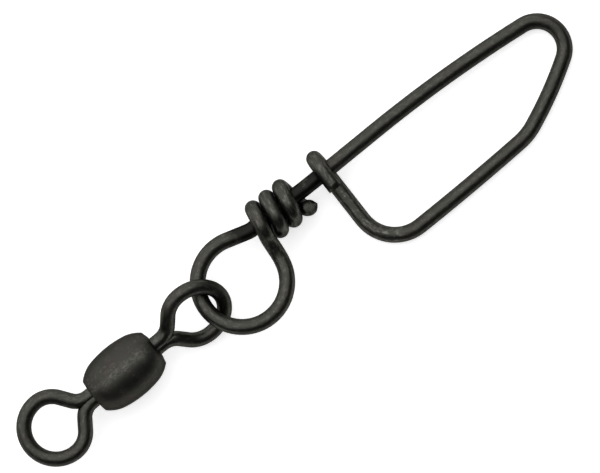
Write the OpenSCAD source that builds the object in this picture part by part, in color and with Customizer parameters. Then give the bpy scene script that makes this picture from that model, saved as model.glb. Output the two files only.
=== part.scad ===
// A crane swivel with a coiled wire snap, as sold for heavy fishing line.
// The load line is the X axis, with the line eye's loop centred on the origin.

/* [Barrel] */
// Diameter of the barrel at its middle
barrel_d = 7.5; // [6.8:0.1:9]
// Length of the barrel from rim to rim
barrel_l = 9.75; // [9:0.25:12]
// Diameter of the barrel where its side meets each end
rim_d = 4.4; // [3.6:0.1:5]
// Width of the bevel between the barrel's side and each end
rim_bevel = 0.2; // [0.1:0.05:0.4]
// Length of the barrel's belly, which bulges on one long arc
belly_l = 5; // [4:0.25:6]
// Slope of the barrel's side where the belly ends and a shoulder begins, in degrees
belly_slope = 11; // [6:1:14]
// Thickness of the barrel's wall at its middle
wall = 1.1; // [0.7:0.1:1.4]
// Length of the bore in which the two heads turn, without its seats
bore_l = 4; // [3:0.1:4.4]

/* [Eyes] */
// Diameter of the wire of both eyes
eye_wire_d = 1.9; // [1.6:0.1:2.1]
// Radius of an eye's round outer half, at the middle of the wire
eye_r = 3.95; // [3.8:0.05:5]
// Radius on which each side of an eye turns in toward the neck
eye_side_r = 3.2; // [2.6:0.1:4]
// Length of the straight part of each side
side_l = 1.5; // [0.5:0.1:3]
// Radius on which each leg bends back into the neck
neck_r = 2.4; // [2.2:0.1:4]
// Length of straight neck that shows outside the barrel when an eye is pulled out
neck_l = 0.9; // [0.5:0.1:1.5]
// Distance of each leg's middle from the eye's middle line, as a share of the wire's radius
leg_press = 0.4; // [0.3:0.05:0.7]
// Width of the slit between the two pressed legs of an eye
leg_slit = 0.04; // [0.02:0.01:0.08]
// Tilt of the snap eye about the load line, in degrees
snap_eye_tilt = 40; // [38:1:70]
// Distance that the line eye sits inward of its fully pulled-out place
line_eye_in = 0.3; // [0:0.05:0.3]

/* [Snap ring and coil] */
// Diameter of the snap's wire
snap_wire_d = 2; // [1.6:0.1:2.1]
// Radius of the snap's ring, at the middle of the wire
ring_r = 5.55; // [5:0.05:7]
// Roll of the ring's plane about the spine's line, in degrees
ring_roll = 7; // [6:0.5:9]
// Angle between the spine and the side of the ring that runs into it, in degrees
ring_entry = 16; // [12:0.5:24]
// Distance of the spine's line from the ring's centre
spine_y = 4.4; // [3.9:0.05:4.7]
// Radius of the corner where the ring's side turns into the spine
corner_r = 3; // [2:0.5:5]
// Length of bare spine between that corner and the first wrap's crossing
coil_lead = 1.45; // [1.2:0.05:3]
// Number of wraps of the wire round the spine
coil_turns = 2.8; // [1.8:1:4.8]
// Distance that the cut end springs away from the last wrap
coil_flare = 0.35; // [0:0.05:0.8]

/* [Snap loop] */
// Length of the spine from its corner to the start of its bow
spine_l = 19.7; // [18:0.1:30]
// Angle that the spine turns outward just after the coil, in degrees
kick_turn = 1.25; // [0:0.05:4]
// Length of the spine's bowed part, up to the nose
bow_l = 22.65; // [18:0.05:30]
// Angle through which the bow turns, in degrees
bow_turn = 7.25; // [4:0.05:11]
// Radius of the nose bend
nose_r = 3.45; // [3:0.05:5]
// Angle through which the nose turns, in degrees
nose_turn = 141; // [134:0.5:146]
// Length of the front, from the nose to the knee
front_l = 9.3; // [6:0.1:11]
// Angle through which the front bows, in degrees
front_turn = 10.3; // [4:0.1:14]
// Radius of the knee bend
knee_r = 7.5; // [4:0.1:10]
// Angle through which the knee turns, in degrees
knee_turn = 19.35; // [14:0.05:26]
// Length of the lower leg, from the knee to the heel
leg_l = 16.2; // [14:0.1:20]
// Angle through which the lower leg bows, in degrees
leg_turn = 2.75; // [0:0.05:8]
// Radius of the heel bend
heel_r = 5.05; // [4.6:0.05:5.6]
// Length of the hook's end past the middle of the spine
hook_end_l = 2.5; // [1.5:0.05:3.5]
// Distance that the hook's end leans toward the coil
hook_lean = 0.2; // [0:0.05:0.6]
// Length over which a cut end of the wire is pinched
cut_l = 0.6; // [0.3:0.1:1]
// Thickness of a pinched end as a share of the wire
cut_pinch = 0.35; // [0.2:0.05:1]

/* [Lie] */
// Distance of the ring's centre to the side of the load line
ring_off = 0.6; // [0:0.05:0.7]
// Angle that the snap lies swung aside from the load line, in degrees
snap_turn = -1; // [-20:1:20]

/* [Clearances] */
// Gap all round between an eye's neck and the barrel's mouth
mouth_gap = 0.07; // [0.05:0.01:0.1]
// Gap all round between an eye's head and the barrel's bore
head_gap = 0.08; // [0.05:0.01:0.1]
// Gap between the head and its seat when an eye is pulled out
seat_gap = 0.05; // [0.03:0.01:0.1]
// Distance that each eye can slide into the barrel
end_play = 0.3; // [0.3:0.05:0.6]
// Distance that the ring can still be pulled away from the snap eye
link_play = 0.5; // [0.3:0.05:0.8]
// Gap between the wraps and the spine
coil_gap = 0.05; // [0.03:0.01:0.15]
// Gap between one wrap and the next, along the spine
wrap_gap = 0.12; // [0.05:0.01:0.2]
// Gap between the hook and the spine that it closes round
hook_gap = 0.1; // [0.05:0.01:0.3]

/* [Hidden] */
$fn = 96;

// Fineness of a wire: sides round it, largest turn of one step, largest bow of one step
wire_sides = 16;
bend_step = 9;
bend_sag = 0.02;

// Steepness of the rims' bevel, from the barrel's axis
rim_steep = 68;

// The barrel and the snap both lie on the floor, and the load line is at height 0
floor_z = -barrel_d / 2;

// Neck of an eye: two legs side by side, pressed flat against each other
leg_y = eye_wire_d / 2 * leg_press;
neck_half = leg_y + eye_wire_d / 2;

// Inside of the barrel: mouths round the necks, and cone-shaped seats at the ends of the bore
mouth_r = neck_half + mouth_gap;
bore_r = barrel_d / 2 - wall;
bore_half = bore_l / 2;
seat_end = bore_half + bore_r - mouth_r;

// Head of an eye: a button whose cone lies along the barrel's seat
head_r = bore_r - head_gap;
head_shoulder = bore_half + bore_r - head_r - seat_gap;
collar_r = neck_half + mouth_gap / 2;
collar_x = head_shoulder + head_r - collar_r;

// Loop of an eye, measured from the middle of the barrel with the eye pulled out
turn_r = eye_side_r + neck_r;
side_turn = atan2(turn_r, side_l) + asin((eye_r - leg_y - turn_r) / norm([turn_r, side_l]));
neck_end = barrel_l / 2 + neck_l;
eye_reach = neck_end + turn_r * sin(side_turn) + side_l * cos(side_turn);
barrel_x = eye_reach - line_eye_in;
crown_x = barrel_x + eye_reach + eye_r;

// Centre of the snap's ring, which hangs in the snap eye
ring_x = crown_x - (snap_wire_d + eye_wire_d) / 2 - link_play + ring_r;

// Directions and turns
function unit(v) = v / norm(v);
function across(v, t) = unit(v - (v * t) * t);
function bend_l(r, turn) = r * turn * PI / 180;

// A wire's route is a list of legs, each [length, turn, slope at its end].
// Turns to the left are positive, and p, h and m are where a leg starts, its heading and its slope.
function leg_point(p, h, m, leg, s) =
    let (turned = leg[1] * s / leg[0], r = leg[1] == 0 ? 0 : leg[0] / leg[1] * 180 / PI)
    p + [
        leg[1] == 0 ? s * cos(h) : r * (sin(h + turned) - sin(h)),
        leg[1] == 0 ? s * sin(h) : r * (cos(h) - cos(h + turned)),
        m * s + (leg[2] - m) * s * s / leg[0] / 2
    ];
function leg_steps(leg) = leg[1] == 0 ? 1 : ceil(max(
    abs(leg[1]) / bend_step,
    sqrt(leg[0] * abs(leg[1]) * PI / 180 / 8 / bend_sag)));
function route(p, h, m, legs, i = 0) =
    i == len(legs) ? [] : let (leg = legs[i], n = leg_steps(leg)) concat(
        [for (k = [1 : n]) leg_point(p, h, m, leg, leg[0] * k / n)],
        route(leg_point(p, h, m, leg, leg[0]), h + leg[1], leg[2], legs, i + 1));

// A curve that leaves a toward b and reaches d from c
function bezier(a, b, c, d, t) =
    pow(1 - t, 3) * a + 3 * t * pow(1 - t, 2) * b + 3 * t * t * (1 - t) * c + pow(t, 3) * d;

// A round wire along a path: a ring of points at each point of the path, never twisted.
// Each of its two ends may be pinched, by a share of its thickness and in a direction.
function tangents(path) =
    [for (i = [0 : len(path) - 1]) unit(path[min(i + 1, len(path) - 1)] - path[max(i - 1, 0)])];
function normals(t, first) =
    [for (i = 0, n = across(first, t[0]); i < len(t); i = i + 1, n = i < len(t) ? across(n, t[i]) : n) n];
function ring_points(c, t, n, d, pinch, way) =
    [for (k = [0 : wire_sides - 1])
        let (a = 360 * k / wire_sides, v = cos(a) * n + sin(a) * cross(t, n))
        c + d / 2 * (v - (1 - pinch) * (v * way) * way)];
function wire_points(path, d, first, pinch = 1, ways = [[0, 0, 1], [0, 0, 1]]) =
    let (t = tangents(path), n = normals(t, first), last = len(path) - 1)
    [for (i = [0 : last]) each ring_points(path[i], t[i], n[i], d,
        i == 0 || i == last ? pinch : 1, across(ways[i == 0 ? 0 : 1], t[i]))];
function wire_faces(rings) = let (s = wire_sides, last = (rings - 1) * s) concat(
    [[for (k = [0 : s - 1]) k]],
    [for (i = [0 : s : last - s], k = [0 : s - 1]) [i + k, i + s + k, i + (k + 1) % s]],
    [for (i = [0 : s : last - s], k = [0 : s - 1]) [i + (k + 1) % s, i + s + k, i + s + (k + 1) % s]],
    [[for (k = [s - 1 : -1 : 0]) last + k]]);

// Eye: neck, neck bend and side, then the round outer half, and back the same way
leg_start = [(end_play + head_shoulder) / 2, leg_y, 0];
eye_side = concat([leg_start], route(leg_start, 0, 0, [
    [neck_end - leg_start.x, 0, 0],
    [bend_l(neck_r, side_turn), side_turn, 0],
    [side_l, 0, 0],
    [bend_l(eye_side_r, side_turn), -side_turn, 0],
]));
eye_bow = route([eye_reach, eye_r, 0], 0, 0, [[bend_l(eye_r, 180), -180, 0]]);
eye_back = [for (i = [len(eye_side) - 2 : -1 : 0]) [eye_side[i].x, -eye_side[i].y, 0]];
eye_path = concat(eye_side, eye_bow, eye_back);

// Snap, drawn with the ring's centre at the origin and the spine along X.
// The ring runs clockwise, seen from above, from the coil's side to its entry into the spine.
function ring_at(a) = ring_r * [cos(a), sin(a) * cos(ring_roll), -sin(a) * sin(ring_roll)];
ring_exit_a = -11;
ring_entry_a = 90 - ring_entry;
ring_sweep = 360 + ring_exit_a - ring_entry_a;
ring_steps = ceil(ring_sweep / bend_step);
ring_path = [for (i = [0 : ring_steps]) ring_at(ring_exit_a - ring_sweep * i / ring_steps)];
entry = ring_at(ring_entry_a);

// Plan of the rest: entry, corner, spine through the coil, kick, spine, bow, nose, front, knee, leg, heel
corner_cut = corner_r * tan(ring_entry / 2);
corner_x = entry.x + (entry.y - spine_y) / tan(ring_entry);
entry_l = (entry.y - spine_y) / sin(ring_entry) - corner_cut;
corner_l = bend_l(corner_r, ring_entry);
coil_x = corner_x + coil_lead;
coil_r = snap_wire_d + coil_gap;
coil_pitch = snap_wire_d + wrap_gap;
coil_end = coil_x + coil_pitch * coil_turns + snap_wire_d / 2;
kick_l = 2;
nose_l = bend_l(nose_r, nose_turn);
heel_turn = 270 + kick_turn - bow_turn - nose_turn - front_turn - knee_turn - leg_turn;
plan = [
    [entry_l, 0],
    [corner_l, ring_entry],
    [coil_end - corner_x - corner_cut, 0],
    [kick_l, kick_turn],
    [spine_l + corner_x - coil_end - kick_l, 0],
    [bow_l, -bow_turn],
    [nose_l, -nose_turn],
    [front_l, -front_turn],
    [bend_l(knee_r, knee_turn), -knee_turn],
    [leg_l, -leg_turn],
    [bend_l(heel_r, heel_turn), -heel_turn],
];
plan_path = route(entry, -ring_entry, 0, [for (leg = plan) [leg[0], leg[1], 0]]);
heel_end = plan_path[len(plan_path) - 1];

// Hook: the arm lies on the floor, and a half turn round the spine closes the loop,
// leaning toward the coil as it goes round
hook_r = snap_wire_d + hook_gap;
hook_x = heel_end.x;
hook_y = spine_y + (hook_x - coil_end - kick_l / 2) * tan(kick_turn);
hook_z = floor_z + snap_wire_d / 2 + hook_r;
hook_steps = 12;
hook_path = [for (i = [0 : hook_steps]) let (a = 180 * i / hook_steps)
    [hook_x - hook_lean * (1 - cos(a)) / 2, hook_y + hook_r * sin(a), hook_z - hook_r * cos(a)]];
hook_end = hook_path[hook_steps];
end_path = [for (l = [hook_end_l - cut_l, hook_end_l]) hook_end - [0, l, 0]];

// Slopes: the spine comes down from the hook, and the nose levels out on the floor
climb = hook_r / (corner_x + spine_l + bow_l - hook_x + nose_l / 2);
function spine_at(x) = [x, spine_y, hook_z + climb * (hook_x - x)];
entry_slope = sin(ring_roll) * sin(ring_entry);
entry_rise = spine_at(corner_x + corner_cut).z - entry.z;
corner_slope = (2 * entry_rise - entry_slope * entry_l + climb * corner_l) / (entry_l + corner_l);
slopes = [corner_slope, -climb, -climb, -climb, -climb, -climb, 0, 0, 0, 0, 0];
loop_legs = [for (i = [0 : len(plan) - 1]) [plan[i][0], plan[i][1], slopes[i]]];
loop_path = route(entry, -ring_entry, entry_slope, loop_legs);

// Coil: left-handed wraps round the spine, counted in turns from the first crossing on top of it.
// Over its last part the wire springs away from the wraps.
flare_turns = 0.3;
function flare(t) = coil_flare * pow(max(0, 1 - (coil_turns - t) / flare_turns), 2);
function wrap_at(t) = spine_at(coil_x + coil_pitch * t + flare(t))
    + coil_r * (sin(360 * t) * [0, 1, 0] + cos(360 * t) * unit([climb, 0, 1]));
wrap_step = 1 / 24;
wrap_first = -40 / 360;
wrap_count = floor((coil_turns - wrap_first) / wrap_step);
coil_path = [for (i = [wrap_count : -1 : 0]) wrap_at(wrap_first + i * wrap_step)];

// Lead: the wire comes down from the first wrap into the ring
lead_steps = 8;
lead_top = wrap_at(wrap_first);
lead_pull = norm(ring_path[0] - lead_top) / 3;
lead_b = lead_top + lead_pull * unit(wrap_at(wrap_first - wrap_step) - lead_top);
lead_c = ring_path[0] + lead_pull * unit(ring_path[0] - ring_path[1]);
lead_path = [for (i = [1 : lead_steps - 1]) bezier(lead_top, lead_b, lead_c, ring_path[0], i / lead_steps)];

snap_path = concat(coil_path, lead_path, ring_path, loop_path, hook_path, end_path);

module shoulder_profile(side_r) {
    rise = (barrel_l - belly_l) / 2;
    drop = side_r - rim_d / 2;
    shoulder_r = norm([rise, drop]) / 2 / sin(atan2(drop, rise) - belly_slope);
    intersection() {
        translate([side_r - shoulder_r * cos(belly_slope), belly_l / 2 - shoulder_r * sin(belly_slope)])
            circle(shoulder_r);
        translate([0, belly_l / 2]) square([barrel_d, rise]);
    }
}

module barrel_profile() {
    belly_r = belly_l / 2 / sin(belly_slope);
    side_r = barrel_d / 2 - belly_r * (1 - cos(belly_slope));
    intersection() {
        translate([barrel_d / 2 - belly_r, 0]) circle(belly_r);
        translate([0, -belly_l / 2]) square([barrel_d, belly_l]);
    }
    shoulder_profile(side_r);
    mirror([0, 1]) shoulder_profile(side_r);
}

// Cuts the sharp corner between each shoulder and end at a steep angle
module rim_profile() {
    rim_r = rim_d / 2 - rim_bevel;
    rim_in = (barrel_d / 2 - rim_r) / tan(rim_steep);
    polygon([
        [0, -barrel_l / 2], [rim_r, -barrel_l / 2], [barrel_d / 2, rim_in - barrel_l / 2],
        [barrel_d / 2, barrel_l / 2 - rim_in], [rim_r, barrel_l / 2], [0, barrel_l / 2],
    ]);
}

module bore_profile() {
    polygon([
        [0, -barrel_l], [mouth_r, -barrel_l], [mouth_r, -seat_end], [bore_r, -bore_half],
        [bore_r, bore_half], [mouth_r, seat_end], [mouth_r, barrel_l], [0, barrel_l],
    ]);
}

module barrel() {
    color([0.22, 0.22, 0.2])
        translate([barrel_x, 0, 0]) rotate([0, 90, 0]) rotate_extrude() difference() {
            intersection() {
                barrel_profile();
                rim_profile();
            }
            bore_profile();
        }
}

module eye_head() {
    rotate([0, 90, 0]) rotate_extrude()
        polygon([
            [0, end_play], [head_r, end_play], [head_r, head_shoulder],
            [collar_r, collar_x], [0, collar_x],
        ]);
}

// The points of each leg that would cross the eye's middle are pressed back to the slit
module eye_wire() {
    points = wire_points(eye_path, eye_wire_d, [0, 0, 1]);
    half = len(points) / 2;
    pressed = [for (i = [0 : len(points) - 1]) let (q = points[i], side = i < half ? 1 : -1)
        [q.x, side * max(side * q.y, leg_slit / 2), q.z]];
    polyhedron(pressed, wire_faces(len(eye_path)));
}

module eye() {
    color([0.2, 0.2, 0.18]) union() {
        eye_head();
        eye_wire();
    }
}

module line_eye() {
    translate([barrel_x + line_eye_in, 0, 0]) mirror([1, 0, 0]) eye();
}

module snap_eye() {
    translate([barrel_x, 0, 0]) rotate([snap_eye_tilt, 0, 0]) eye();
}

module snap_wire() {
    color([0.19, 0.19, 0.17])
        translate([ring_x, -ring_off, 0]) rotate([0, 0, snap_turn])
            polyhedron(
                wire_points(snap_path, snap_wire_d, [1, 0, 0], cut_pinch, [[0.3, 1, 0], [0, 0, 1]]),
                wire_faces(len(snap_path)));
}

barrel();
line_eye();
snap_eye();
snap_wire();
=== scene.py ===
import math

import bmesh
import bpy
from mathutils import Matrix, Vector


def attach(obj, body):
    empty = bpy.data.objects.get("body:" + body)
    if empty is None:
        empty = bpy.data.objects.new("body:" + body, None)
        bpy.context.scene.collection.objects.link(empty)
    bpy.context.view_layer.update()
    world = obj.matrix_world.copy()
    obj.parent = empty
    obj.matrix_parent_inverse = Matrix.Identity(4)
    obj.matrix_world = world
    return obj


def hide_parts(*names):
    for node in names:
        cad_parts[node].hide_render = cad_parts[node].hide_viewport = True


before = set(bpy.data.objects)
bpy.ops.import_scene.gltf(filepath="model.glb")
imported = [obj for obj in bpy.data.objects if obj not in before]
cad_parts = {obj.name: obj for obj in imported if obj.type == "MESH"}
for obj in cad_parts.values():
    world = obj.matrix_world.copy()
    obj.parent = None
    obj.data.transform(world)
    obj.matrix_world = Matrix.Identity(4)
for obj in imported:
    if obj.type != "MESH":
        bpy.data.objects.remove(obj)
bpy.context.view_layer.update()

bl_info = {
    "name": "Coiled Snap Swivel",
    "version": (1, 0, 0),
    "blender": (4, 5, 0),
    "location": "3D View > Sidebar > Snap Swivel",
    "description": "Makes a barrel swivel with a coiled wire snap, in black nickel, with its stage",
    "category": "Add Mesh",
}

MM = 0.001

# Lengths in millimetres and angles in degrees, as in the part's source
BARREL_L, BELLY_L, BELLY_SLOPE, RIM_D, WALL, BORE_L = 9.75, 5.0, 11.0, 4.4, 1.1, 4.0
EYE_R, EYE_SIDE_R, SIDE_L, NECK_R, NECK_L = 3.95, 3.2, 1.5, 2.4, 0.9
LEG_PRESS, SNAP_EYE_TILT, LINE_EYE_IN = 0.4, 40.0, 0.3
RING_R, RING_ROLL, RING_ENTRY, SPINE_Y, CORNER_R = 5.55, 7.0, 16.0, 4.4, 3.0
COIL_LEAD, COIL_TURNS, COIL_FLARE, FLARE_TURNS = 1.45, 2.8, 0.35, 0.3
SPINE_L, KICK_L, KICK_TURN, BOW_L, BOW_TURN = 19.7, 2.0, 1.25, 22.65, 7.25
NOSE_R, NOSE_TURN, FRONT_L, FRONT_TURN = 3.45, 141.0, 9.3, 10.3
KNEE_R, KNEE_TURN, LEG_L, LEG_TURN, HEEL_R = 7.5, 19.35, 16.2, 2.75, 5.05
HOOK_END_L = 2.5
RING_OFF, SNAP_TURN = 0.6, -1.0
MOUTH_GAP, HEAD_GAP, SEAT_GAP, END_PLAY = 0.07, 0.08, 0.05, 0.3
LINK_PLAY, COIL_GAP, WRAP_GAP, HOOK_GAP = 0.5, 0.05, 0.12, 0.1

# Small forms that follow the photograph more closely here than in the source: the hook's lean, the
# chisel cuts at the wire's ends, with the directions in which the cutter closed on them, and the
# wraps, which hang a little low and loose on the spine
HOOK_LEAN = 0.3
CUT_L, CUT_PINCH = 0.3, 0.9
CUT_WAYS = ((0.3, 1, 0), (0, 0, 1))
COIL_DROP, COIL_SLACK = 0.13, 0.07
# How far each end of the barrel is cut back at its rim, the line eye's end first
END_FACES = (0.12, 0.28)
# The face of each end: how far forward its lip and its cone reach, as shares of that cut, and the
# widths of the lip, of the cone's foot, of the flat round the mouth and of the mouth's bevel
LIP_REACH, CONE_REACH = 0.25, 0.9
LIP_W, FOOT_W, FLAT_W, MOUTH_BEVEL = 0.07, 0.1, 0.2, 0.12
# The legs of an eye meet with this overlap, so that no light shows between them
LEG_SEAM = 0.03

# The angles at which the lead joins the ring and at which it leaves the first wrap, and the angle
# over which the wrap's heading there is taken
RING_EXIT, FIRST_WRAP, HEADING_STEP = -11.0, -40.0, 15.0

# Between two points of a wire: the largest turn in degrees, sag and straight length
BEND_STEP, BEND_SAG, STRAIGHT_STEP = 4.5, 0.004, 1.5
# Points on each wrap, on the lead from the coil to the ring, on the hook and on its end
WRAP_POINTS, LEAD_POINTS, HOOK_POINTS, END_POINTS = 64, 16, 24, 10
# Steps along the barrel's belly and shoulder, and sides round the barrel, a head and the sweep
BELLY_STEPS, SHOULDER_STEPS = 8, 16
BARREL_SIDES, HEAD_SIDES, SWEEP_SIDES = 128, 96, 96
# Edges sharper than this many degrees stay sharp, on the wires and on the barrel
WIRE_CREASE, BARREL_CREASE = 35, 28

# How much each stretch of wire is rubbed by chafing, from 0 to 1; the lead's 1.0 is also painted
# light, lightening that stretch where its slope turns it from the lamps. The heel is the loop below
# SPINE_FROM_Y and within HEEL_L of the hook.
CHAFE_AND_PAINTED_LIGHT = {"coil": 0.7, "lead": 1.0, "ring": 0.4, "heel": 1.0, "loop": 0.3, "hook": 0.6, "eye": 0.35}
SPINE_FROM_Y, HEEL_L = 3.0, 3.0
# Shade is painted on the spine from this far before the coil to this far beyond the hook, where the
# coil and the hook shade it
SHADE_PAINT_BEFORE, SHADE_PAINT_BEYOND = 4.2, 1.2

# The photograph: 600 pixels are 74.07 mm, and the load line rises 39.05 degrees to the right
VIEW_W = 74.07
VIEW_ROLL = 39.05
VIEW_CENTRE = (38.232, -0.707)
VIEW_FROM = 450.0
SENSOR_W = 36.0
CLIP_NEAR, CLIP_FAR = 0.01, 10.0

# Light: each lamp's bearing in the picture and height above the floor in degrees, its distance and
# size in metres, and its brightness, where 1 is white
LAMPS = (
    ("key_softbox", 132, 52, 1.1, 2.9, 2.4, 1.5),
    ("key_centre", 135, 62, 0.9, 0.6, 0.22, 0.9),
)
ROOM = 0.07
FLOOR_GREY, FLOOR_GLOW = 0.8, 0.65
# The white sweep's radius and height at its centre, its edge and up its low wall, in metres
SWEEP = ((0.0, 0.0), (1.7, 0.0), (1.85, 0.03), (1.9, 0.1), (1.92, 0.2))

# Spots on the barrel: a place from its middle, radii and a kind. The first, a long pale band along
# the barrel's top, is partly rubbed plate and partly a painted highlight.
BARREL_SPOTS_AND_HIGHLIGHT = (
    (-0.2, 0.4, 3.4, (5.2, 0.8, 1.2), "worn_and_painted_light"),
    (-4.0, 0.7, 2.6, (0.9, 0.8, 1.0), "worn_and_painted_light"),
    (3.4, 0.2, 2.9, (1.6, 1.3, 1.2), "worn_and_painted_light"),
    (-3.1, -1.0, 2.6, (1.9, 1.5, 1.5), "warm"),
    (0.8, 2.0, 3.0, (2.4, 1.2, 1.6), "warm"),
)
SPOT_SHARE = 0.5

# The plate on drawn wire and on turned brass: the scales per metre that draw out its tool lines and
# its rubs, least roughness, most of the warm tone, least of the rubbed tone, and depth of its dents
ON_WIRE = {"lines": (80, 1000, 1000), "rubs": (450, 1000, 1000), "rough": 0.26,
           "warm": 0.15, "rubbed": 0.08, "dents": 0.22}
ON_BRASS = {"lines": (1000, 150, 150), "rubs": (600, 1000, 1000), "rough": 0.36,
            "warm": 0.4, "rubbed": 0.0, "dents": 0.12}
# Its brightness at a glancing view
PLATE_EDGE = 0.38


def linear(code):
    """An sRGB hex colour as linear red, green and blue."""
    parts = [int(code[i:i + 2], 16) / 255 for i in (1, 3, 5)]
    return [c / 12.92 if c <= 0.04045 else ((c + 0.055) / 1.055) ** 2.4 for c in parts]


def across(v, t):
    """The direction of v square to the direction t."""
    return (v - v.dot(t) * t).normalized()


def bend_l(r, turn):
    """Length of a bend of radius r through an angle in degrees."""
    return r * math.radians(turn)


def leg_points(p, heading, slope, legs):
    """Points along bent legs of wire, each (length, turn, slope at its end), without the first."""
    points = []
    for length, turn, end_slope in legs:
        r = length / math.radians(turn) if turn else 0
        bow = math.sqrt(length * abs(math.radians(turn)) / 8 / BEND_SAG)
        count = math.ceil(max(abs(turn) / BEND_STEP, bow, length / STRAIGHT_STEP))
        for k in range(1, count + 1):
            s = length * k / count
            a, b = math.radians(heading), math.radians(heading + turn * k / count)
            x = r * (math.sin(b) - math.sin(a)) if turn else s * math.cos(a)
            y = r * (math.cos(a) - math.cos(b)) if turn else s * math.sin(a)
            rise = slope * s + (end_slope - slope) * s * s / length / 2
            points.append(p + Vector((x, y, rise)))
        p, heading, slope = points[-1], heading + turn, end_slope
    return points


def barrel_side(barrel_d, mouth_r, face_in):
    """Points (x, radius) from the barrel's middle over its shoulder and end face to its mouth."""
    slope = math.radians(BELLY_SLOPE)
    belly_r = BELLY_L / 2 / math.sin(slope)
    side_r = barrel_d / 2 - belly_r * (1 - math.cos(slope))
    rise, drop = (BARREL_L - BELLY_L) / 2, side_r - RIM_D / 2
    shoulder_r = math.hypot(rise, drop) / 2 / math.sin(math.atan2(drop, rise) - slope)
    end = math.asin((rise - face_in) / shoulder_r + math.sin(slope))
    side = []
    for k in range(BELLY_STEPS):
        a = slope * k / BELLY_STEPS
        side.append((belly_r * math.sin(a), barrel_d / 2 - belly_r * (1 - math.cos(a))))
    for k in range(SHOULDER_STEPS + 1):
        a = slope + (end - slope) * k / SHOULDER_STEPS
        side.append((BELLY_L / 2 + shoulder_r * (math.sin(a) - math.sin(slope)),
                     side_r - shoulder_r * (math.cos(slope) - math.cos(a))))
    x, r = side[-1]
    flat_r = mouth_r + FLAT_W
    return side + [
        (x + face_in * LIP_REACH, r - LIP_W),
        (x + face_in * CONE_REACH, flat_r + FOOT_W),
        (BARREL_L / 2, flat_r),
        (BARREL_L / 2 - MOUTH_BEVEL, mouth_r),
    ]


class EyeForm:
    """The lengths of a swivel eye that follow from the barrel and the wire."""

    def __init__(self, barrel_d, wire_d):
        self.wire_d = wire_d
        self.leg_y = wire_d / 2 * LEG_PRESS
        self.neck_half = self.leg_y + wire_d / 2
        self.mouth_r = self.neck_half + MOUTH_GAP
        self.bore_r = barrel_d / 2 - WALL
        self.seat_end = BORE_L / 2 + self.bore_r - self.mouth_r
        self.head_r = self.bore_r - HEAD_GAP
        self.shoulder = BORE_L / 2 + self.bore_r - self.head_r - SEAT_GAP
        self.collar_r = self.neck_half + MOUTH_GAP / 2
        self.collar_x = self.shoulder + self.head_r - self.collar_r
        turn_r = EYE_SIDE_R + NECK_R
        turn = math.atan2(turn_r, SIDE_L)
        turn += math.asin((EYE_R - self.leg_y - turn_r) / math.hypot(turn_r, SIDE_L))
        self.turn = math.degrees(turn)
        self.neck_end = BARREL_L / 2 + NECK_L
        self.reach = self.neck_end + turn_r * math.sin(turn) + SIDE_L * math.cos(turn)
        self.barrel_x = self.reach - LINE_EYE_IN
        self.crown_x = self.barrel_x + self.reach + EYE_R

    def path(self):
        """The wire from inside the head out along one leg, round the loop and back."""
        start = Vector(((END_PLAY + self.shoulder) / 2, self.leg_y, 0))
        side = [start] + leg_points(start, 0, 0, [
            (self.neck_end - start.x, 0, 0),
            (bend_l(NECK_R, self.turn), self.turn, 0),
            (SIDE_L, 0, 0),
            (bend_l(EYE_SIDE_R, self.turn), -self.turn, 0),
        ])
        bow = leg_points(side[-1], 0, 0, [(bend_l(EYE_R, 180), -180, 0)])
        return side + bow + [Vector((p.x, -p.y, 0)) for p in reversed(side[:-1])]

    def head(self):
        """The head's outline as (x, radius), from its end inside the barrel to its collar."""
        return [(END_PLAY, 0), (END_PLAY, self.head_r), (self.shoulder, self.head_r),
                (self.collar_x, self.collar_r), (self.collar_x, 0)]


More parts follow.
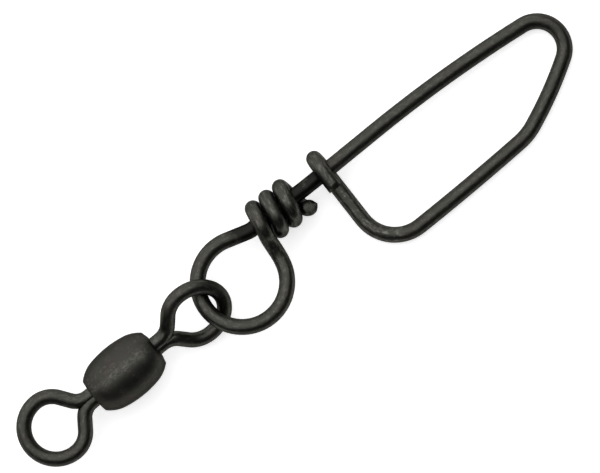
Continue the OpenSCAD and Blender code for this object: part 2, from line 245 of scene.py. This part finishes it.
class SnapForm:
    """The snap's wire, with its ring's centre at the origin and its spine along X."""

    def __init__(self, wire_d, barrel_d):
        lean, roll = math.radians(RING_ENTRY), math.radians(RING_ROLL)
        entry = self.ring_at(90 - RING_ENTRY)
        cut = CORNER_R * math.tan(lean / 2)
        corner_x = entry.x + (entry.y - SPINE_Y) / math.tan(lean)
        entry_l = (entry.y - SPINE_Y) / math.sin(lean) - cut
        corner_l = bend_l(CORNER_R, RING_ENTRY)
        self.coil_r, self.pitch = wire_d + COIL_GAP + COIL_SLACK, wire_d + WRAP_GAP
        self.coil_x = corner_x + COIL_LEAD
        coil_end = self.coil_x + self.pitch * COIL_TURNS + wire_d / 2
        nose_l = bend_l(NOSE_R, NOSE_TURN)
        heel_turn = 270 + KICK_TURN - BOW_TURN - NOSE_TURN - FRONT_TURN - KNEE_TURN - LEG_TURN
        plan = [
            (entry_l, 0),
            (corner_l, RING_ENTRY),
            (coil_end - corner_x - cut, 0),
            (KICK_L, KICK_TURN),
            (SPINE_L + corner_x - coil_end - KICK_L, 0),
            (BOW_L, -BOW_TURN),
            (nose_l, -NOSE_TURN),
            (FRONT_L, -FRONT_TURN),
            (bend_l(KNEE_R, KNEE_TURN), -KNEE_TURN),
            (LEG_L, -LEG_TURN),
            (bend_l(HEEL_R, heel_turn), -heel_turn),
        ]
        flat = leg_points(entry, -RING_ENTRY, 0, [(length, turn, 0) for length, turn in plan])
        self.hook_r = wire_d + HOOK_GAP
        self.hook_x = flat[-1].x
        kicked = self.hook_x - coil_end - KICK_L / 2
        self.hook_y = SPINE_Y + kicked * math.tan(math.radians(KICK_TURN))
        self.hook_z = wire_d / 2 + self.hook_r - barrel_d / 2
        # The hook starts on the floor under the spine, which comes down to the floor at the nose
        self.climb = self.hook_r / (corner_x + SPINE_L + BOW_L - self.hook_x + nose_l / 2)
        entry_slope = math.sin(roll) * math.sin(lean)
        rise = self.spine_at(corner_x + cut).z - entry.z
        corner_slope = ((2 * rise - entry_slope * entry_l + self.climb * corner_l)
                        / (entry_l + corner_l))
        # The slope at each leg's end: down the spine as far as the nose, and level from there
        slopes = [corner_slope] + [-self.climb] * 5 + [0] * 5
        self.loop = leg_points(entry, -RING_ENTRY, entry_slope,
                               [(length, turn, m) for (length, turn), m in zip(plan, slopes)])

    def ring_at(self, degrees):
        """A point of the ring, which is rolled about X."""
        a, roll = math.radians(degrees), math.radians(RING_ROLL)
        y, z = math.sin(a) * math.cos(roll), -math.sin(a) * math.sin(roll)
        return RING_R * Vector((math.cos(a), y, z))

    def spine_at(self, x):
        """The middle of the spine, which the coil goes round."""
        return Vector((x, SPINE_Y, self.hook_z + self.climb * (self.hook_x - x)))

    def wrap_at(self, t):
        """A point of the coil after t turns, flared away from the ring at its end."""
        a = 2 * math.pi * t
        flare = COIL_FLARE * max(0, 1 - (COIL_TURNS - t) / FLARE_TURNS) ** 2
        hung = self.spine_at(self.coil_x + self.pitch * t + flare) - Vector((0, COIL_DROP, 0))
        up = Vector((self.climb, 0, 1)).normalized()
        return hung + self.coil_r * (math.sin(a) * Vector((0, 1, 0)) + math.cos(a) * up)

    def ring(self):
        """The ring, from the lead's end round to where it runs into the loop."""
        sweep = 360 + RING_EXIT - (90 - RING_ENTRY)
        count = math.ceil(sweep / BEND_STEP)
        return [self.ring_at(RING_EXIT - sweep * i / count) for i in range(count + 1)]

    def wraps(self):
        """The coil, from the wire's cut end back to its first wrap."""
        first = FIRST_WRAP / 360
        count = int((COIL_TURNS - first) * WRAP_POINTS)
        return [self.wrap_at(first + i / WRAP_POINTS) for i in range(count, -1, -1)]

    def lead(self, ring):
        """The curve from the first wrap to the ring, in line with each where it meets it."""
        first = FIRST_WRAP / 360
        a, d = self.wrap_at(first), ring[0]
        pull = (d - a).length / 3
        b = a + pull * (self.wrap_at(first - HEADING_STEP / 360) - a).normalized()
        c = d + pull * (d - ring[1]).normalized()
        points = []
        for i in range(1, LEAD_POINTS):
            t, u = i / LEAD_POINTS, 1 - i / LEAD_POINTS
            points.append(u ** 3 * a + 3 * t * u * u * b + 3 * t * t * u * c + t ** 3 * d)
        return points

    def hook(self):
        """The hook's half turn round the spine and its straight end."""
        turn = [Vector((self.hook_x - HOOK_LEAN * (1 - math.cos(a)) / 2,
                        self.hook_y + self.hook_r * math.sin(a),
                        self.hook_z - self.hook_r * math.cos(a)))
                for a in (math.pi * i / HOOK_POINTS for i in range(HOOK_POINTS + 1))]
        end = [turn[-1] - Vector((0, HOOK_END_L * i / END_POINTS, 0))
               for i in range(1, END_POINTS + 1)]
        return turn + end

    def loop_wear_and_painted_light(self, p):
        """How much the loop is rubbed by chafing and how much painted shade it has at a point."""
        if p.y > SPINE_FROM_Y:
            since, left = p.x - self.coil_x + SHADE_PAINT_BEFORE, self.hook_x + SHADE_PAINT_BEYOND - p.x
            return CHAFE_AND_PAINTED_LIGHT["loop"], max(0, min(1, since, left))
        return CHAFE_AND_PAINTED_LIGHT["heel" if p.x < self.hook_x + HEEL_L else "loop"], 0

    def path(self):
        """The points of the whole wire, and at each its chafing, painted light on the lead, and its
        painted shade.
        """
        ring = self.ring()
        points, wear_and_painted_light = [], []
        for name, stretch in (("coil", self.wraps()), ("lead", self.lead(ring)), ("ring", ring),
                              ("loop", self.loop), ("hook", self.hook())):
            points += stretch
            wear_and_painted_light += [self.loop_wear_and_painted_light(p) if name == "loop" else (CHAFE_AND_PAINTED_LIGHT[name], 0) for p in stretch]
        return points, wear_and_painted_light


def new_bm():
    """A mesh whose vertices keep their place on the straight wire, their chafing with its painted
    light, and their painted shade.
    """
    bm = bmesh.new()
    bm.verts.layers.float_vector.new("straight")
    bm.verts.layers.float.new("chafed")
    bm.verts.layers.float.new("sheltered")
    return bm


def wire_mesh(bm, path, wear_and_painted_light, d, first, sides, press=None, cuts=()):
    """Round wire along a path, with a pair at each point: its chafing, which on the lead is also
    painted light, and its painted shade.

    The cuts are the two directions in which the cutter closed on the wire's ends, and press
    flattens a point of the wire's first or second half where the two meet.
    """
    straight = bm.verts.layers.float_vector["straight"]
    chafed, sheltered = bm.verts.layers.float["chafed"], bm.verts.layers.float["sheltered"]
    last = len(path) - 1
    ways = [(path[min(i + 1, last)] - path[max(i - 1, 0)]).normalized() for i in range(last + 1)]
    at = [0.0]
    for p, q in zip(path, path[1:]):
        at.append(at[-1] + (q - p).length)
    n, rings = across(first, ways[0]), []
    for i, p in enumerate(path):
        n = across(n, ways[i])
        side = ways[i].cross(n)
        near = at[i] < at[last] / 2
        left = at[i] if near else at[last] - at[i]
        cut = across(cuts[0 if near else 1], ways[i]) if cuts and left < CUT_L else None
        pinch = CUT_PINCH * (1 - left / CUT_L)
        ring = []
        for k in range(sides):
            a = 2 * math.pi * k / sides
            out = math.cos(a) * n + math.sin(a) * side
            q = p + d / 2 * (out - pinch * out.dot(cut) * cut if cut else out)
            if press:
                q = press(q, i <= last / 2)
            vert = bm.verts.new(q * MM)
            vert[straight] = Vector((at[i], d / 2 * math.cos(a), d / 2 * math.sin(a))) * MM
            vert[chafed], vert[sheltered] = wear_and_painted_light[i]
            ring.append(vert)
        rings.append(ring)
    for a, b in zip(rings, rings[1:]):
        for k in range(sides):
            j = (k + 1) % sides
            bm.faces.new((a[k], a[j], b[j], b[k]))
    bm.faces.new(list(reversed(rings[0])))
    bm.faces.new(rings[-1])


def turned_mesh(bm, profile, sides):
    """A closed profile of (x, radius) turned about the X axis."""
    rings = []
    for x, r in profile:
        turns = [2 * math.pi * k / sides for k in range(sides)] if r else [0]
        rings.append([bm.verts.new(Vector((x, r * math.cos(a), r * math.sin(a))) * MM)
                      for a in turns])
    for a, b in zip(rings, rings[1:] + rings[:1]):
        for k in range(sides):
            j = (k + 1) % sides
            face = [a[k % len(a)], a[j % len(a)], b[j % len(b)], b[k % len(b)]]
            corners = list(dict.fromkeys(face))
            if len(corners) > 2:
                bm.faces.new(corners)


def finished(bm, name, body, material, nodes, crease=WIRE_CREASE):
    """The mesh as an object that rides on a body, stands for its CAD nodes and has its finish."""
    bmesh.ops.recalc_face_normals(bm, faces=bm.faces)
    mesh = bpy.data.meshes.new(name)
    bm.to_mesh(mesh)
    bm.free()
    mesh.shade_smooth()
    mesh.set_sharp_from_angle(angle=math.radians(crease))
    mesh.materials.append(material)
    piece = bpy.data.objects.new(name, mesh)
    bpy.context.scene.collection.objects.link(piece)
    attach(piece, body)
    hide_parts(*nodes)
    return piece


def add_node(tree, kind, settings=None, **inputs):
    """Adds a node; an input is a value, or the (node, output) that it is linked to."""
    node = tree.nodes.new(kind)
    for key, value in (settings or {}).items():
        setattr(node, key, value)
    for key, value in inputs.items():
        numbered = key[0] == "i" and key[1:].isdigit()
        socket = node.inputs[int(key[1:]) if numbered else key.replace("_", " ")]
        if isinstance(value, tuple) and isinstance(value[0], bpy.types.Node):
            tree.links.new(value[0].outputs[value[1]], socket)
        else:
            socket.default_value = value
    return node


def black_nickel(name, finish, ground, spots_and_highlight=()):
    """Black nickel plate, dark olive grey, half matt and darker at a glancing view.

    On drawn wire it shows the die's lines and rubs along the wire, most where the wire chafes; on
    the lead the rubbed tone is also painted light, lightening it where its slope turns it from the
    lamps. On the spine by the coil and the hook it has painted shade, near-black, where they shade
    it. On turned brass it shows soft clouds, fine pale specks, and the rubbed or brownish spot
    marks given as (centre, radii, and the name of the finish colour, rubbed or warm), in
    millimetres; the first, a long pale band along the barrel's top, is partly a painted highlight.
    """
    drawn = ground is ON_WIRE
    times, mixed = {"operation": "MULTIPLY"}, {"data_type": "RGBA"}
    mat = bpy.data.materials.new(name)
    mat.use_nodes = True
    tree = mat.node_tree
    tree.nodes.clear()

    # Coordinates in millimetres, the first one along the wire or the barrel
    if drawn:
        where = (add_node(tree, "ShaderNodeAttribute", {"attribute_name": "straight"}), "Vector")
    else:
        where = (add_node(tree, "ShaderNodeTexCoord"), "Object")
    even = add_node(tree, "ShaderNodeMapping", Vector=where, Scale=(1000, 1000, 1000))
    lined = add_node(tree, "ShaderNodeMapping", Vector=where, Scale=ground["lines"])
    rubbed = add_node(tree, "ShaderNodeMapping", Vector=where, Scale=ground["rubs"])

    # Tool lines 0.2 mm apart, coarser than the real 0.05 mm, which would not show
    lines = add_node(tree, "ShaderNodeTexNoise", Vector=(lined, 0),
                     Scale=5.0, Detail=4.0, Roughness=0.6)
    # Clouds in the plate, 2 mm across
    clouds = add_node(tree, "ShaderNodeTexNoise", Vector=(even, 0),
                      Scale=0.5, Detail=6.0, Roughness=0.62)
    # Grit of the plate, 0.12 mm
    grit = add_node(tree, "ShaderNodeTexNoise", Vector=(even, 0),
                    Scale=8.0, Detail=3.0, Roughness=0.7)
    # Rubs 0.3 mm wide and 0.7 mm long on the wire
    rub = add_node(tree, "ShaderNodeTexNoise", Vector=(rubbed, 0),
                   Scale=3.3, Detail=7.0, Roughness=0.72)
    # Specks 0.1 mm wide, one to each 0.9 mm, where the clouds are thin
    dots = add_node(tree, "ShaderNodeTexVoronoi", Vector=(even, 0), Scale=1.1)
    speck = add_node(tree, "ShaderNodeMapRange", Value=(dots, "Distance"),
                     From_Min=0.05, From_Max=0.1, To_Min=0.7, To_Max=0.0)
    thin = add_node(tree, "ShaderNodeMapRange", Value=(clouds, 0), From_Min=0.53, From_Max=0.62)
    speck = add_node(tree, "ShaderNodeMath", times, i0=(speck, 0), i1=(thin, 0))

    # The plate's tone with its warm clouds, its rubs, partly painted light on the lead, and the
    # barrel's spot marks, one partly a painted highlight, with the specks over all of them, and
    # last painted shade on drawn wire
    warm = add_node(tree, "ShaderNodeMapRange", Value=(clouds, 0),
                    From_Min=0.5, From_Max=0.68, To_Max=ground["warm"])
    tone = add_node(tree, "ShaderNodeMix", mixed, i0=(warm, 0),
                    i6=(*finish.plate, 1), i7=(*finish.warm, 1))
    rubs = add_node(tree, "ShaderNodeMapRange", Value=(rub, 0),
                    From_Min=0.5, From_Max=0.62, To_Min=ground["rubbed"])
    # The rubbed tone's amount: on wire it follows the chafing, which on the lead is also painted
    # light
    if drawn:
        chafed = add_node(tree, "ShaderNodeAttribute", {"attribute_name": "chafed"})
        rub_and_light_share = add_node(tree, "ShaderNodeMath", times, i0=(chafed, "Fac"), i1=0.8)
    else:
        rub_and_light_share = add_node(tree, "ShaderNodeMapRange", Value=(clouds, 0),
                         From_Min=0.45, From_Max=0.6, To_Max=0.25)
    rubs = add_node(tree, "ShaderNodeMath", times, i0=(rubs, 0), i1=(rub_and_light_share, 0))
    tone = add_node(tree, "ShaderNodeMix", mixed, i0=(rubs, 0),
                    i6=(tone, 2), i7=(*finish.worn_and_painted_light, 1))
    # Each barrel spot; the first is partly a painted highlight along the barrel's top
    for centre, radii, kind in spots_and_highlight:
        reach = add_node(tree, "ShaderNodeMapping", Vector=(even, 0), Scale=[1 / r for r in radii],
                         Location=[-c / r for c, r in zip(centre, radii)])
        near = add_node(tree, "ShaderNodeTexGradient", {"gradient_type": "SPHERICAL"},
                        Vector=(reach, 0))
        broken = add_node(tree, "ShaderNodeMapRange", Value=(rub, 0),
                          From_Min=0.38, From_Max=0.6, To_Max=SPOT_SHARE)
        near = add_node(tree, "ShaderNodeMath", times, i0=(near, "Fac"), i1=(broken, 0))
        tone = add_node(tree, "ShaderNodeMix", mixed, i0=(near, 0),
                        i6=(tone, 2), i7=(*getattr(finish, kind), 1))
    tone = add_node(tree, "ShaderNodeMix", mixed, i0=(speck, 0),
                    i6=(tone, 2), i7=(*finish.bare, 1))
    if drawn:
        # Painted shade: the plate goes near-black on the spine by the coil and the hook, where they
        # shade it, broken up by the clouds
        sheltered = add_node(tree, "ShaderNodeAttribute", {"attribute_name": "sheltered"})
        dark = add_node(tree, "ShaderNodeMapRange", Value=(clouds, 0),
                        From_Min=0.7, From_Max=0.56, To_Max=0.85)
        dark = add_node(tree, "ShaderNodeMath", times, i0=(dark, 0), i1=(sheltered, "Fac"))
        tone = add_node(tree, "ShaderNodeMix", mixed, i0=(dark, 0),
                        i6=(tone, 2), i7=(*finish.dark, 1))

    # Roughness from the tool lines and the clouds
    rough_lines = add_node(tree, "ShaderNodeMapRange", Value=(lines, 0), From_Min=0.3, From_Max=0.7,
                           To_Min=ground["rough"], To_Max=ground["rough"] + 0.12)
    rough_clouds = add_node(tree, "ShaderNodeMapRange", Value=(clouds, 0),
                            From_Min=0.35, From_Max=0.65, To_Max=0.08)
    rough = add_node(tree, "ShaderNodeMath", {"operation": "ADD"},
                     i0=(rough_lines, 0), i1=(rough_clouds, 0))

    # Grit 0.02 mm deep, dents 0.04 mm and tool lines 0.03 mm
    fine = add_node(tree, "ShaderNodeBump", Strength=0.3, Distance=0.02 * MM, Height=(grit, 0))
    dents = add_node(tree, "ShaderNodeBump", Strength=ground["dents"], Distance=0.04 * MM,
                     Height=(rub, 0), Normal=(fine, 0))
    bump = add_node(tree, "ShaderNodeBump", Strength=0.35, Distance=0.03 * MM,
                    Height=(lines, 0), Normal=(dents, 0))
    shader = add_node(tree, "ShaderNodeBsdfPrincipled", Base_Color=(tone, 2), Metallic=1.0,
                      Roughness=(rough, 0), Normal=(bump, 0),
                      Specular_Tint=(PLATE_EDGE, PLATE_EDGE, PLATE_EDGE, 1))
    add_node(tree, "ShaderNodeOutputMaterial", Surface=(shader, 0))
    return mat


def white_card():
    """White painted card, matt, which the camera and reflections see as a plain white."""
    mat = bpy.data.materials.new("white_card")
    mat.use_nodes = True
    tree = mat.node_tree
    tree.nodes.clear()
    path = add_node(tree, "ShaderNodeLightPath")
    seen = (path, "Is Camera Ray")
    for ray in ("Is Glossy Ray", "Is Transmission Ray"):
        either = add_node(tree, "ShaderNodeMath", {"operation": "MAXIMUM"}, i0=seen, i1=(path, ray))
        seen = (either, 0)
    glow = add_node(tree, "ShaderNodeMath", {"operation": "MULTIPLY"}, i0=seen, i1=FLOOR_GLOW)
    card = add_node(tree, "ShaderNodeBsdfDiffuse", Color=(FLOOR_GREY, FLOOR_GREY, FLOOR_GREY, 1))
    white = add_node(tree, "ShaderNodeEmission", Color=(1, 1, 1, 1), Strength=(glow, 0))
    both = add_node(tree, "ShaderNodeAddShader", i0=(card, 0), i1=(white, 0))
    add_node(tree, "ShaderNodeOutputMaterial", Surface=(both, 0))
    return mat


class SwivelSizes(bpy.types.PropertyGroup):
    """Sizes of the swivel that a user would change"""

    barrel_d: bpy.props.FloatProperty(
        name="Barrel diameter", description="Diameter of the barrel at its middle",
        default=7.5 * MM, unit="LENGTH", precision=5)
    eye_wire_d: bpy.props.FloatProperty(
        name="Eye wire", description="Diameter of the wire of both eyes",
        default=1.9 * MM, unit="LENGTH", precision=5)
    snap_wire_d: bpy.props.FloatProperty(
        name="Snap wire", description="Diameter of the snap's wire",
        default=2.0 * MM, unit="LENGTH", precision=5)
    wire_sides: bpy.props.IntProperty(
        name="Wire sides", description="Number of faces round a wire", default=40, min=16, max=64)


class SwivelFinish(bpy.types.PropertyGroup):
    """Colours of the swivel's plate"""

    plate: bpy.props.FloatVectorProperty(
        name="Black nickel", description="Colour of the plate", subtype="COLOR",
        default=linear("#3B3B37"))
    # The rubbed tone, also used as painted light: on the lead, and partly for the highlight band
    # along the barrel's top
    worn_and_painted_light: bpy.props.FloatVectorProperty(
        name="Rubbed plate and painted light", description="Colour where the plate is rubbed, also painted light", subtype="COLOR",
        default=linear("#6E6D67"))
    warm: bpy.props.FloatVectorProperty(
        name="Warm clouds", description="Colour of the plate's brownish clouds", subtype="COLOR",
        default=linear("#433A38"))
    bare: bpy.props.FloatVectorProperty(
        name="Specks", description="Colour of the fine pale specks", subtype="COLOR",
        default=linear("#7E7E76"))
    # Painted shade: the near-black colour put on the spine where the coil and the hook shade it
    dark: bpy.props.FloatVectorProperty(
        name="Painted shade", description="Colour of the painted shade on the spine", subtype="COLOR",
        default=linear("#191918"))


class SWIVEL_OT_barrel(bpy.types.Operator):
    """Turns the barrel, with its seats for the heads of the eyes"""

    bl_idname = "swivel.barrel"
    bl_label = "Barrel"

    def execute(self, context):
        sizes, finish = context.scene.swivel_sizes, context.scene.swivel_finish
        barrel_d = sizes.barrel_d / MM
        form = EyeForm(barrel_d, sizes.eye_wire_d / MM)
        line_end, snap_end = (barrel_side(barrel_d, form.mouth_r, face_in) for face_in in END_FACES)
        bore = [(form.seat_end, form.mouth_r), (BORE_L / 2, form.bore_r),
                (-BORE_L / 2, form.bore_r), (-form.seat_end, form.mouth_r)]
        bm = new_bm()
        outside = [(-x, r) for x, r in reversed(line_end[1:])] + snap_end
        turned_mesh(bm, outside + bore, BARREL_SIDES)
        bm.transform(Matrix.Translation((form.barrel_x * MM, 0, 0)))
        spots_and_highlight = [((form.barrel_x + x, y, z), radii, kind) for x, y, z, radii, kind in BARREL_SPOTS_AND_HIGHLIGHT]
        mat = black_nickel("black_nickel_on_turned_brass", finish, ON_BRASS, spots_and_highlight)
        finished(bm, "barrel_turned", "barrel", mat, ["barrel"],
                 BARREL_CREASE)
        return {"FINISHED"}


class SWIVEL_OT_eyes(bpy.types.Operator):
    """Bends the line eye and the snap eye, each with its head in the barrel"""

    bl_idname = "swivel.eyes"
    bl_label = "Eyes"

    def execute(self, context):
        sizes, finish = context.scene.swivel_sizes, context.scene.swivel_finish
        form = EyeForm(sizes.barrel_d / MM, sizes.eye_wire_d / MM)
        mat = black_nickel("black_nickel_on_bent_eye_wire", finish, ON_WIRE)

        def press(q, near):
            """Flattens each leg where the two meet."""
            side = 1 if near else -1
            return Vector((q.x, side * max(side * q.y, -LEG_SEAM / 2), q.z))

        line_place = Matrix.Translation(((form.barrel_x + LINE_EYE_IN) * MM, 0, 0))
        snap_place = Matrix.Translation((form.barrel_x * MM, 0, 0))
        places = {
            "line_eye": line_place @ Matrix.Scale(-1, 4, (1, 0, 0)),
            "snap_eye": snap_place @ Matrix.Rotation(math.radians(SNAP_EYE_TILT), 4, "X"),
        }
        path = form.path()
        wear_and_painted_light = [(CHAFE_AND_PAINTED_LIGHT["eye"], 0)] * len(path)
        for node, place in places.items():
            bm = new_bm()
            wire_mesh(bm, path, wear_and_painted_light, form.wire_d, Vector((0, 0, 1)), sizes.wire_sides, press)
            turned_mesh(bm, form.head(), HEAD_SIDES)
            bm.transform(place)
            finished(bm, node + "_wire", node, mat, [node])
        return {"FINISHED"}


class SWIVEL_OT_snap(bpy.types.Operator):
    """Bends the snap from one wire, with its ring, coil, loop and hook"""

    bl_idname = "swivel.snap"
    bl_label = "Snap"

    def execute(self, context):
        sizes, finish = context.scene.swivel_sizes, context.scene.swivel_finish
        wire_d, barrel_d = sizes.snap_wire_d / MM, sizes.barrel_d / MM
        eye = EyeForm(barrel_d, sizes.eye_wire_d / MM)
        ring_x = eye.crown_x - (wire_d + eye.wire_d) / 2 - LINK_PLAY + RING_R
        path, wear_and_painted_light = SnapForm(wire_d, barrel_d).path()
        bm = new_bm()
        wire_mesh(bm, path, wear_and_painted_light, wire_d, Vector((1, 0, 0)), sizes.wire_sides,
                  cuts=[Vector(way) for way in CUT_WAYS])
        bm.transform(Matrix.Translation((ring_x * MM, -RING_OFF * MM, 0))
                     @ Matrix.Rotation(math.radians(SNAP_TURN), 4, "Z"))
        mat = black_nickel("black_nickel_on_bent_snap_wire", finish, ON_WIRE)
        finished(bm, "snap_wire_bent", "snap", mat, ["snap_wire"])
        return {"FINISHED"}


class SWIVEL_OT_stage(bpy.types.Operator):
    """Sets up the floor, the lamps and the camera over the object"""

    bl_idname = "swivel.stage"
    bl_label = "Stage"

    def execute(self, context):
        scene = context.scene
        scene.view_settings.view_transform = "Standard"
        self.sweep(scene, -scene.swivel_sizes.barrel_d / 2)
        world = scene.world or bpy.data.worlds.new("world")
        scene.world = world
        world.use_nodes = True
        background = world.node_tree.nodes["Background"]
        background.inputs["Color"].default_value = (1, 1, 1, 1)
        background.inputs["Strength"].default_value = ROOM

        roll = math.radians(VIEW_ROLL)
        centre = Vector((*VIEW_CENTRE, 0)) * MM
        self.lamps(scene, centre, roll)
        cam = bpy.data.cameras.new("camera")
        cam.sensor_width = SENSOR_W
        cam.lens = SENSOR_W * VIEW_FROM / VIEW_W
        cam.clip_start, cam.clip_end = CLIP_NEAR, CLIP_FAR
        camera = bpy.data.objects.new("camera", cam)
        camera.location = centre + Vector((0, 0, VIEW_FROM * MM))
        camera.rotation_euler = (0, 0, -roll)
        scene.collection.objects.link(camera)
        scene.camera = camera
        return {"FINISHED"}

    def sweep(self, scene, floor_z):
        """White studio sweep: a flat floor and a low wall round it."""
        bm = bmesh.new()
        rings = []
        for r, z in SWEEP:
            turns = [2 * math.pi * k / SWEEP_SIDES for k in range(SWEEP_SIDES)] if r else [0]
            rings.append([bm.verts.new((r * math.cos(a), r * math.sin(a), floor_z + z))
                          for a in turns])
        for a, b in zip(rings, rings[1:]):
            for k in range(SWEEP_SIDES):
                j = (k + 1) % SWEEP_SIDES
                bm.faces.new(list(dict.fromkeys((a[k % len(a)], b[k], b[j], a[j % len(a)]))))
        mesh = bpy.data.meshes.new("sweep")
        bm.to_mesh(mesh)
        bm.free()
        mesh.shade_smooth()
        mesh.materials.append(white_card())
        sweep = bpy.data.objects.new("sweep", mesh)
        scene.collection.objects.link(sweep)

    def lamps(self, scene, centre, roll):
        """Soft lamps, each turned to the object's middle from its bearing in the picture."""
        right = Vector((math.cos(roll), -math.sin(roll), 0))
        up = Vector((math.sin(roll), math.cos(roll), 0))
        for name, bearing, height, far, wide, tall, brightness in LAMPS:
            turn, rise = math.radians(bearing), math.radians(height)
            level = math.cos(turn) * right + math.sin(turn) * up
            toward = math.cos(rise) * level + math.sin(rise) * Vector((0, 0, 1))
            lamp = bpy.data.lights.new(name, "AREA")
            lamp.shape = "RECTANGLE"
            lamp.size, lamp.size_y = wide, tall
            lamp.energy = brightness * math.pi * wide * tall
            softbox = bpy.data.objects.new(name, lamp)
            scene.collection.objects.link(softbox)
            softbox.location = centre + far * toward
            softbox.rotation_euler = toward.to_track_quat("Z", "Y").to_euler()


class SWIVEL_PT_panel(bpy.types.Panel):
    """Sizes, finish and steps of the snap swivel"""

    bl_label = "Snap Swivel"
    bl_idname = "SWIVEL_PT_panel"
    bl_space_type = "VIEW_3D"
    bl_region_type = "UI"
    bl_category = "Snap Swivel"

    def draw(self, context):
        for group in (context.scene.swivel_sizes, context.scene.swivel_finish):
            for key in group.__annotations__:
                self.layout.prop(group, key)
        for step in STEPS:
            self.layout.operator(step.bl_idname)


STEPS = (SWIVEL_OT_barrel, SWIVEL_OT_eyes, SWIVEL_OT_snap, SWIVEL_OT_stage)
CLASSES = (SwivelSizes, SwivelFinish, *STEPS, SWIVEL_PT_panel)


def register():
    for cls in CLASSES:
        bpy.utils.register_class(cls)
    bpy.types.Scene.swivel_sizes = bpy.props.PointerProperty(type=SwivelSizes)
    bpy.types.Scene.swivel_finish = bpy.props.PointerProperty(type=SwivelFinish)


def unregister():
    del bpy.types.Scene.swivel_finish
    del bpy.types.Scene.swivel_sizes
    for cls in reversed(CLASSES):
        bpy.utils.unregister_class(cls)


def main():
    register()
    bpy.ops.swivel.barrel()
    bpy.ops.swivel.eyes()
    bpy.ops.swivel.snap()
    bpy.ops.swivel.stage()
    bpy.context.view_layer.update()


if __name__ == "__main__":
    main()
